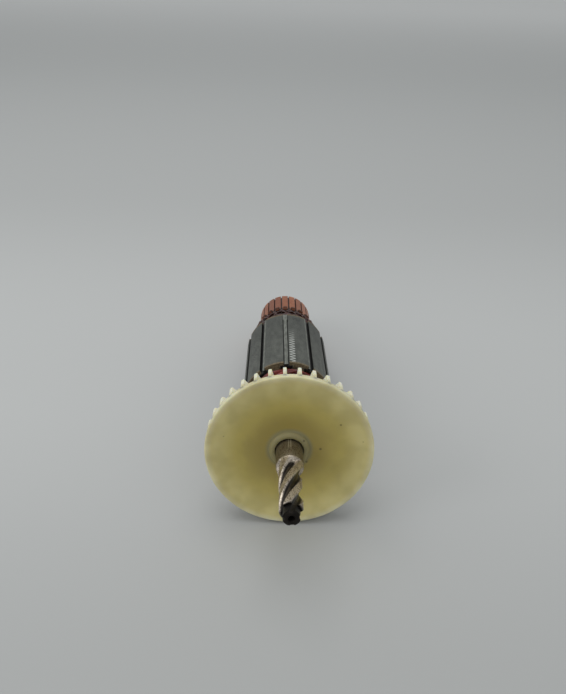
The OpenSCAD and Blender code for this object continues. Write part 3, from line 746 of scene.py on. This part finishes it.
mesh_piece("fan_moulding", points, faces, nylon, "fan_nylon", "fan", crease=40)


# ---------- commutator ----------
# Twenty-two hard copper bars, moulded in dark resin on a brass bush and turned true. The
# brushes leave a brown film on the track, and the hooks are fused over the leads.

copper = Finish("bar_copper", Metallic=0.75)
turned_rings = copper.noise(copper.station * 3.0, 1, 3)
track = copper.station.band(COM_START + 6.0, COM_END - 1.5, 0.8)
copper_patch = copper.grain(3.0, 1, 4)
bar_count = (copper.angle - BAR_PHASE) / BAR_PITCH + 0.5
bar_number = bar_count.math("FLOOR")
bar_shade = copper.node("ShaderNodeTexWhiteNoise", {"noise_dimensions": "1D"}, {"W": bar_number})
copper_tone = copper.blend(copper_patch.rise(0.3, 0.7), tone(208, 136, 88), tone(180, 100, 58))
copper_tone = copper.blend(bar_shade.rise(0.3, 0.0) * 0.6, copper_tone, tone(104, 58, 38))
copper_tone = copper.blend(bar_shade.rise(0.7, 1.0) * 0.7, copper_tone, tone(216, 150, 120))
from_edge = 0.5 - (bar_count.math("FRACT") - 0.5).math("ABSOLUTE")
copper_tone = copper.blend(from_edge.rise(0.16, 0.09) * 0.85, copper_tone, tone(48, 24, 17))
copper_tone = copper.blend(track * (0.35 + 0.4 * turned_rings), copper_tone, tone(140, 74, 46))
# Painted shade: the bars darken towards the hooks and leads.
near_hooks = copper.station.rise(COM_START + 7.5, COM_START + 3.5) * 0.9
copper_tone = copper.blend(near_hooks, copper_tone, tone(52, 26, 18))
# Painted shade: the bars' sides below the track are painted dark.
copper_tone = copper.blend(copper.radius.rise(13.0, 12.4), copper_tone, tone(70, 34, 22))
copper.give(Base_Color=copper_tone, Roughness=0.34 + 0.25 * copper.grain(0.7) - 0.08 * track)
copper.bumps(turned_rings * 0.7 + copper.grain(0.4) * 0.3, 0.03)
for number in range(1, BARS + 1):
    bar = dress(f"commutator_bar_{number}", copper)
    rounding = bar.modifiers.new("worn_edges", "BEVEL")
    rounding.width = 0.22 * MM
    rounding.segments = 2
    rounding.limit_method = "ANGLE"
    rounding.angle_limit = math.radians(40)

resin = Finish("commutator_resin", Roughness=0.5)
resin_tone = resin.blend(resin.grain(0.8).rise(0.3, 0.7), tone(66, 42, 30), tone(40, 26, 20))
resin_tone = resin.blend(resin.radius.rise(11.5, 13.0) * 0.5, resin_tone, tone(30, 20, 16))
resin.give(Base_Color=resin_tone)
resin.bumps(resin.grain(0.4), 0.04)
dress("commutator_moulding", resin)

brass = Finish("bush_brass", Metallic=0.9)
brass_tone = brass.blend(brass.grain(1.2).rise(0.3, 0.7), tone(196, 168, 104), tone(150, 122, 70))
brass.give(Base_Color=brass_tone, Roughness=0.3 + 0.25 * brass.grain(0.5))
brass.bumps(brass.noise(brass.station * 8, 1), 0.02)
dress("commutator_bush", brass)


# ---------- table and surroundings ----------
# A plain grey table in a few tones from near to far, under a plain grey sky.

table_mesh = bpy.data.meshes.new("table")
table_mesh.from_pydata([(-6, -6, 0), (6, -6, 0), (6, 6, 0), (-6, 6, 0)], [], [(0, 1, 2, 3)])
table = bpy.data.objects.new("table", table_mesh)
bpy.context.scene.collection.objects.link(table)
table_top = Finish("table_top", Roughness=0.75)
table_spot = table_top.node("ShaderNodeSeparateXYZ", None, (table_top.here,), output="Y")
table_tone = table_top.blend(table_spot.rise(-0.16, 0.02), tone(168, 169, 168), tone(184, 185, 184))
table_tone = table_top.blend(table_spot.rise(0.08, 0.32), table_tone, tone(173, 174, 173))
table_tone = table_top.blend(table_spot.rise(0.8, 2.3), table_tone, tone(207, 207, 206))
table_top.give(Base_Color=table_tone)
table_mesh.materials.append(table_top.material)

world = bpy.data.worlds.new("grey_air")
bpy.context.scene.world = world
world.use_nodes = True
air = world.node_tree.nodes["Background"]
air.inputs["Color"].default_value = tone(200, 203, 204)
air.inputs["Strength"].default_value = 1.0
